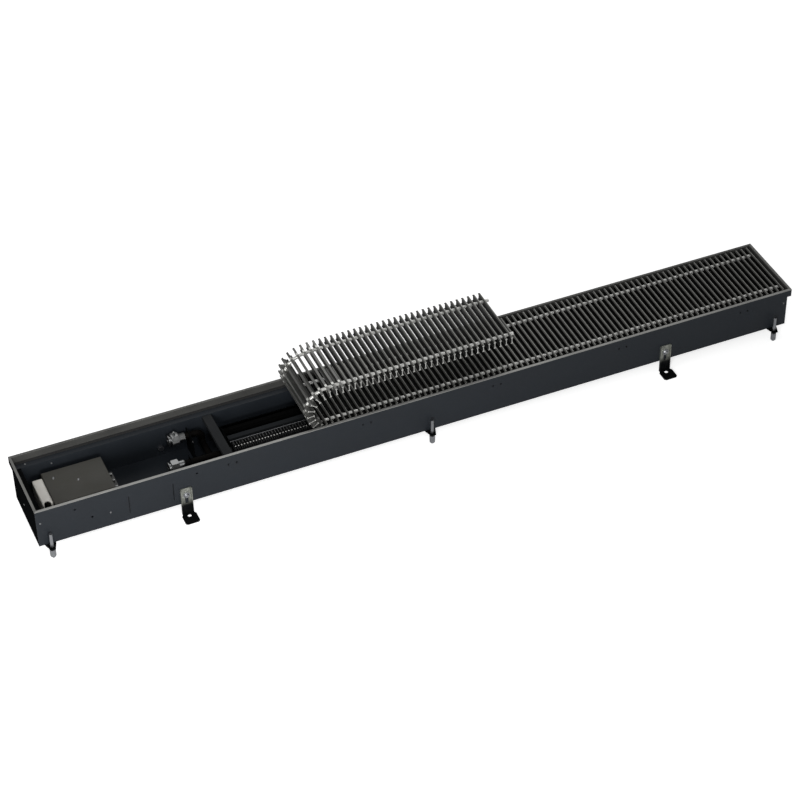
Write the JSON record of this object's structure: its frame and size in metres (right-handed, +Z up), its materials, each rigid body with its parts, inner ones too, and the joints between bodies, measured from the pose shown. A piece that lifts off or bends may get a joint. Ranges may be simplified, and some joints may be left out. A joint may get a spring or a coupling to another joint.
{
  "type": "trench convector heater",
  "caption": "In-floor trench convector with a sheet trough, finned heat exchanger, cross-flow fan, connection bay and a roll-up bar grille rolled back over itself.",
  "frame": {"origin": "middle of the whole heater's footprint, on the raw floor under the levelling feet", "axes": "+X along the trough from the connection bay to the far end of the grille, +Y from the heat exchanger's side to the fan's side, +Z up"},
  "size_m": [2.001, 0.266, 0.2396],
  "materials": {
    "trough_sheet": "satin powder coat",
    "black_sheet": "satin powder coat",
    "rim_aluminium": "anodised",
    "damping_rubber": "matt",
    "dark_steel": "blackened",
    "zinc_steel": "zinc plated",
    "fin_aluminium": "coated black",
    "copper_tube": "coated",
    "nickel_brass": "nickel plated",
    "black_plastic": "moulded",
    "box_sheet": "satin",
    "cover_plastic": "moulded",
    "strip_plastic": "moulded",
    "bar_aluminium": "anodised",
    "spacer_aluminium": "bare",
    "galvanised_sheet": "galvanised"
  },
  "bodies": {
    "convector": {"trough": "trough_sheet", "left_end_plate": "black_sheet", "right_end_plate": "black_sheet", "front_ledge": "trough_sheet", "rim_near": "rim_aluminium", "rim_far": "rim_aluminium", "rim_left": "rim_aluminium", "rim_right": "rim_aluminium", "damping_strips": "damping_rubber", "cross_braces": "trough_sheet", "levelling_tabs": "black_sheet", "levelling_locknuts": "dark_steel", "bracket_screws": "zinc_steel", "rivets": "zinc_steel", "partition": "trough_sheet", "coil_block": "fin_aluminium", "coil_return_bends": "copper_tube", "coil_end_plates": "black_sheet", "supply_pipe": "copper_tube", "return_pipe": "copper_tube", "union_nuts": "nickel_brass", "union_nipples": "nickel_brass", "air_vent": "nickel_brass", "pipe_plates": "black_sheet", "fan_housing": "black_sheet", "fan_end_plates": "black_sheet", "fan_motor": "dark_steel", "control_box": "box_sheet", "control_lid": "box_sheet", "lid_screws": "zinc_steel", "terminal_cover": "cover_plastic", "terminal_strip": "strip_plastic"},
    "grille": {"grille_bars": "bar_aluminium", "grille_strings": "spacer_aluminium"},
    "roll_1": {"roll_bar_1": "bar_aluminium"},
    "roll_2": {"roll_bar_2": "bar_aluminium"},
    "roll_3": {"roll_bar_3": "bar_aluminium"},
    "roll_4": {"roll_bar_4": "bar_aluminium"},
    "roll_5": {"roll_bar_5": "bar_aluminium"},
    "roll_6": {"roll_bar_6": "bar_aluminium"},
    "roll_7": {"roll_bar_7": "bar_aluminium"},
    "roll_8": {"roll_bar_8": "bar_aluminium"},
    "roll_9": {"roll_bar_9": "bar_aluminium"},
    "roll_10": {"roll_bar_10": "bar_aluminium"},
    "roll_11": {"roll_bar_11": "bar_aluminium"},
    "flap": {"flap_bars": "bar_aluminium", "flap_strings": "spacer_aluminium"},
    "fan_rotor": {"fan_impellers": "black_plastic"},
    "foot_1": {"levelling_foot_1": "zinc_steel"},
    "foot_2": {"levelling_foot_2": "zinc_steel"},
    "foot_3": {"levelling_foot_3": "zinc_steel"},
    "foot_4": {"levelling_foot_4": "zinc_steel"},
    "foot_5": {"levelling_foot_5": "zinc_steel"},
    "foot_6": {"levelling_foot_6": "zinc_steel"},
    "bracket_1": {"anchor_bracket_1": "galvanised_sheet"},
    "bracket_2": {"anchor_bracket_2": "galvanised_sheet"},
    "bracket_3": {"anchor_bracket_3": "galvanised_sheet"},
    "bracket_4": {"anchor_bracket_4": "galvanised_sheet"}
  },
  "joints": [
    {"name": "grille_lift", "type": "slide", "parent": "convector", "child": "grille", "axis": [0, 0, 1], "range_m": [0, 0.15]},
    {"name": "unroll_1", "type": "hinge", "parent": "grille", "child": "roll_1", "pos_m": [-0.27737, 0.014, 0.1305], "axis": [0, -1, 0], "range_deg": [0, 28]},
    {"name": "unroll_2", "type": "hinge", "parent": "roll_1", "child": "roll_2", "pos_m": [-0.29194, 0.014, 0.13825], "axis": [0, -1, 0], "range_deg": [0, 23]},
    {"name": "unroll_3", "type": "hinge", "parent": "roll_2", "child": "roll_3", "pos_m": [-0.30233, 0.014, 0.15107], "axis": [0, -1, 0], "range_deg": [0, 19]},
    {"name": "unroll_4", "type": "hinge", "parent": "roll_3", "child": "roll_4", "pos_m": [-0.30797, 0.014, 0.16657], "axis": [0, -1, 0], "range_deg": [0, 16]},
    {"name": "unroll_5", "type": "hinge", "parent": "roll_4", "child": "roll_5", "pos_m": [-0.30912, 0.014, 0.18303], "axis": [0, -1, 0], "range_deg": [0, 21]},
    {"name": "unroll_6", "type": "hinge", "parent": "roll_5", "child": "roll_6", "pos_m": [-0.3043, 0.014, 0.19881], "axis": [0, -1, 0], "range_deg": [0, 20]},
    {"name": "unroll_7", "type": "hinge", "parent": "roll_6", "child": "roll_7", "pos_m": [-0.29437, 0.014, 0.21199], "axis": [0, -1, 0], "range_deg": [0, 19]},
    {"name": "unroll_8", "type": "hinge", "parent": "roll_7", "child": "roll_8", "pos_m": [-0.28069, 0.014, 0.22122], "axis": [0, -1, 0], "range_deg": [0, 15]},
    {"name": "unroll_9", "type": "hinge", "parent": "roll_8", "child": "roll_9", "pos_m": [-0.26509, 0.014, 0.22659], "axis": [0, -1, 0], "range_deg": [0, 11]},
    {"name": "unroll_10", "type": "hinge", "parent": "roll_9", "child": "roll_10", "pos_m": [-0.24875, 0.014, 0.22889], "axis": [0, -1, 0], "range_deg": [0, 4]},
    {"name": "unroll_11", "type": "hinge", "parent": "roll_10", "child": "roll_11", "pos_m": [-0.23229, 0.014, 0.23004], "axis": [0, -1, 0], "range_deg": [0, 2]},
    {"name": "unroll_12", "type": "hinge", "parent": "roll_11", "child": "flap", "pos_m": [-0.2158, 0.014, 0.23061], "axis": [0, -1, 0], "range_deg": [0, 2]},
    {"name": "rotor_spin", "type": "hinge", "parent": "convector", "child": "fan_rotor", "pos_m": [0.1985, 0.04368, 0.0678], "axis": [1, 0, 0], "continuous": true},
    {"name": "foot_1_down", "type": "slide", "parent": "convector", "child": "foot_1", "axis": [0, 0, -1], "range_m": [0, 0.03]},
    {"name": "foot_2_down", "type": "slide", "parent": "convector", "child": "foot_2", "axis": [0, 0, -1], "range_m": [0, 0.03]},
    {"name": "foot_3_down", "type": "slide", "parent": "convector", "child": "foot_3", "axis": [0, 0, -1], "range_m": [0, 0.03]},
    {"name": "foot_4_down", "type": "slide", "parent": "convector", "child": "foot_4", "axis": [0, 0, -1], "range_m": [0, 0.03]},
    {"name": "foot_5_down", "type": "slide", "parent": "convector", "child": "foot_5", "axis": [0, 0, -1], "range_m": [0, 0.03]},
    {"name": "foot_6_down", "type": "slide", "parent": "convector", "child": "foot_6", "axis": [0, 0, -1], "range_m": [0, 0.03]},
    {"name": "bracket_1_up", "type": "slide", "parent": "convector", "child": "bracket_1", "axis": [0, 0, 1], "range_m": [0, 0.0215]},
    {"name": "bracket_2_up", "type": "slide", "parent": "convector", "child": "bracket_2", "axis": [0, 0, 1], "range_m": [0, 0.0215]},
    {"name": "bracket_3_up", "type": "slide", "parent": "convector", "child": "bracket_3", "axis": [0, 0, 1], "range_m": [0, 0.0215]},
    {"name": "bracket_4_up", "type": "slide", "parent": "convector", "child": "bracket_4", "axis": [0, 0, 1], "range_m": [0, 0.0215]}
  ]
}
